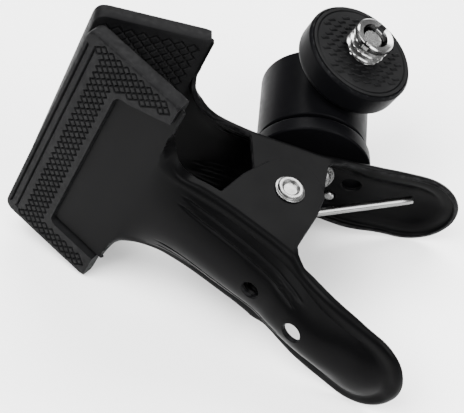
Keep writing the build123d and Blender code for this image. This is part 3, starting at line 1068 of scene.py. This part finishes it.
def make_head():
    """Collar with its spigot, and the housing with its socket and notch."""
    radius, height = COLLAR["radius"], COLLAR["height"]
    collar = [
        (0, 0.02), (radius - 0.3, 0.02, 0.2), (radius, 0.35, 0.2), (radius - 0.25, height - 0.9, 0.4),
        (radius - 1.1, height, 0.3), (11.6, height), (10.9, height - 0.5), (9.9, height),
        (9.9, 8.5), (0, 8.5),
    ]
    lathe("head_collar", collar, HEAD, "upper_jaw", worn_edges=True)
    shell, top, bore = HOUSING["radius"], HOUSING["top"], HOUSING["bore"]
    low = height + GROOVE
    socket = BALL_RADIUS + 0.3
    mouth = math.acos(BALL_DEPTH / socket)
    cavity = []
    for k in range(9):
        a = mouth * (1 - k / 8) + math.pi / 2 * (k / 8)
        cavity.append((socket * math.sin(a), BALL_HEIGHT + socket * math.cos(a)))
    housing = [
        (shell - 0.25, low, 0.1), (shell, low + 0.25, 0.1), (shell, top - 0.2, 0.9),
        (shell - 1.1, top, 0.8), *cavity, (bore, BALL_HEIGHT - 1.5), (bore, low),
    ]
    body = lathe("head_housing", housing, HEAD, "head", 160, True)
    cut(body, prism(notch_outline(), 0, shell + 6, local_frame(ball_centre, upper_z, stem_axis)))


def notch_outline():
    """Notch for the stem, round at its foot and flared at the rim: x up the head, y across it."""
    half = 5.5
    foot = [polar(half, (9 + k) / 36, 0)[:2] for k in range(18)]
    flare = [(4.6, half), (5.6, half + 0.5), (12, half + 1.2)]
    return foot + [(x, -y) for x, y in flare] + flare[::-1]


def make_ball():
    """Ball and stem, turned in one piece."""
    back = DISC["back"]
    neck = math.asin(NECK / BALL_RADIUS)
    profile = [(0, -BALL_RADIUS)]
    for k in range(1, 33):
        a = math.pi - (math.pi - neck) * k / 32
        profile.append((BALL_RADIUS * math.sin(a), BALL_RADIUS * math.cos(a)))
    profile += [(NECK, 10.2), (NECK + 0.3, back - 0.2), (NECK + 0.3, back + 0.3), (0, back + 0.3)]
    lathe("ball_stem", profile, STEM, "ball", 96, sharp=45)


def make_platform():
    """Disc, stud and the slotted adapter on it."""
    radius, back, face = DISC["radius"], DISC["back"], DISC["face"]
    disc = [
        (0, back), (radius - 3.4, back, 0.4), (radius - 0.2, back + 1.7, 2.2), (radius, face - 0.9, 0.5),
        (radius - 0.55, face - 0.15, 0.3), (radius - 0.85, face - 0.4, 0.1),
        (radius - 0.85, face - 0.95), (0, face - 0.95),
    ]
    lathe("platform_disc", disc, STEM, "platform", 160, worn_edges=True)
    make_platform_pad()
    threaded("camera_stud", "platform", 2.6, 0.4, 1.27, face - 5.0, face + 5.0)
    adapter = threaded("thread_adapter", "adapter", 4.76, 1.0, 1.5875, face + 0.1, face + 6.5, 3.25, 1.5)
    slot = [(-0.8, -8), (0.8, -8), (0.8, 8), (-0.8, 8)]
    cut(adapter, prism(slot, face + 4.4, face + 9, STEM @ Matrix.Rotation(SLOT_TURN, 4, "Z")))


def make_platform_pad():
    """Rubber face with a ring groove and rows of short, wavy raised dashes."""
    face, radius = DISC["face"] - 0.05, DISC["radius"] - 0.9
    ring = radius - 0.9
    base = [
        (3.3, face - 0.9), (3.3, face, 0.15), (ring - 0.22, face), (ring, face - 0.3), (ring + 0.22, face),
        (radius, face, 0.15), (radius, face - 0.9),
    ]
    lathe("platform_pad", base, STEM, "platform", 128, True)
    points, faces = [], []
    pitch_x, pitch_y, length = 2.75, 1.5, 2.3
    for row in range(-8, 9):
        for column in range(-6, 7):
            x, y = (column + 0.5 * (row % 2)) * pitch_x, row * pitch_y
            if 4.2 < math.hypot(x, y) < ring - 1.1 and math.hypot(abs(x) + length / 2, y) <= ring - 0.3:
                add_dash(points, faces, x, y, face, length)
    turned = STEM @ Matrix.Rotation(DASH_TURN, 4, "Z")
    piece("platform_dashes", points, faces, turned, "platform", "platform_rubber")


def add_dash(points, faces, x, y, face, length):
    """A low wavy ridge with tapered ends: five points across, at seven places along it."""
    start, count = len(points), 7
    for k in range(count):
        t = k / (count - 1) - 0.5
        middle = y + 0.2 * math.sin(2 * math.pi * t)
        swell = math.sqrt(max(0.04, 1 - (2 * t) ** 4))
        for across, up in ((-1, -0.3), (-0.8, 0.45), (0, 1), (0.8, 0.45), (1, -0.3)):
            points.append((x + t * length, middle + across * 0.4 * swell, face + up * 0.38 * swell))
    for a in range(start, start + 5 * (count - 1), 5):
        faces += [(a + i, a + i + 1, a + i + 6, a + i + 5) for i in range(4)]
        faces.append((a + 4, a, a + 5, a + 9))
    last = start + 5 * (count - 1)
    faces += [tuple(range(start + 4, start - 1, -1)), tuple(range(last, last + 5))]


def finish_cad_nodes():
    """The CAD parts that stay as they are get their materials."""
    for name, node in frame["nodes"].items():
        node.data.materials.clear()
        node.data.materials.append(MATERIALS[SLOT_OF[name]])


# ---- stage ----
CAMERA = {"azimuth": 15.33, "elevation": 47.36, "roll": 3.37, "distance": 0.3898, "lens": 134.3}


def aimed(target, azimuth, elevation, distance, roll=0.0):
    """Placement that looks at the target from an angle in degrees and a distance in metres."""
    a, e = math.radians(azimuth), math.radians(elevation)
    back = Vector((math.sin(a) * math.cos(e), -math.cos(a) * math.cos(e), math.sin(e)))
    turn = (-back).to_track_quat("-Z", "Y").to_matrix().to_4x4()
    turn = turn @ Matrix.Rotation(math.radians(roll), 4, "Z")
    return Matrix.Translation(target + back * distance) @ turn


def make_camera():
    data = bpy.data.cameras.new("camera")
    data.lens = CAMERA["lens"]
    data.sensor_width = 36
    data.clip_start = 0.01
    camera = add_object("camera", data)
    aim = pivot + Vector((-8.67, -0.09, 2.07)) * MM
    camera.matrix_world = aimed(
        aim, CAMERA["azimuth"], CAMERA["elevation"], CAMERA["distance"], CAMERA["roll"]
    )
    bpy.context.scene.camera = camera


def soft_box(name, centre, azimuth, elevation, distance, width, height, power):
    data = bpy.data.lights.new(name, "AREA")
    data.shape = "RECTANGLE"
    data.size, data.size_y, data.energy = width, height, power
    add_object(name, data).matrix_world = aimed(centre, azimuth, elevation, distance)


def make_stage(centre):
    """Pale paper floor, three soft boxes and an even white sky."""
    reach = 4.0
    corners = [(-reach, -reach, 0), (reach, -reach, 0), (reach, reach, 0), (-reach, reach, 0)]
    mesh = bpy.data.meshes.new("floor")
    mesh.from_pydata(corners, [], [(0, 1, 2, 3)])
    floor = add_object("floor", mesh)
    floor.location.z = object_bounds()[0][2]
    floor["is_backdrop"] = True
    paper = Paint("floor_paper", specular=0.1)
    paper.tint(paper.grain(30, 4), (0.945, 0.945, 0.945), (0.955, 0.955, 0.955))
    paper.rough(paper.grain(8), 0.8, 0.9)
    mesh.materials.append(paper.material)
    soft_box("key", centre, -40, 60, 0.95, 0.8, 0.6, 30)
    soft_box("side", centre, 60, 40, 0.9, 0.4, 0.7, 13)
    soft_box("back", centre, 180, 50, 1.0, 1.1, 0.45, 26)
    world = bpy.data.worlds.new("studio")
    bpy.context.scene.world = world
    world.use_nodes = True
    sky = world.node_tree.nodes["Background"]
    put(sky, Color=(1, 1, 1, 1), Strength=0.5)


make_levers()
make_pads()
make_pivot()
make_nut()
make_spring()
make_head()
make_ball()
make_platform()
finish_cad_nodes()
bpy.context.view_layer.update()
make_camera()
make_stage((cad_box[0] + cad_box[1]) / 2)
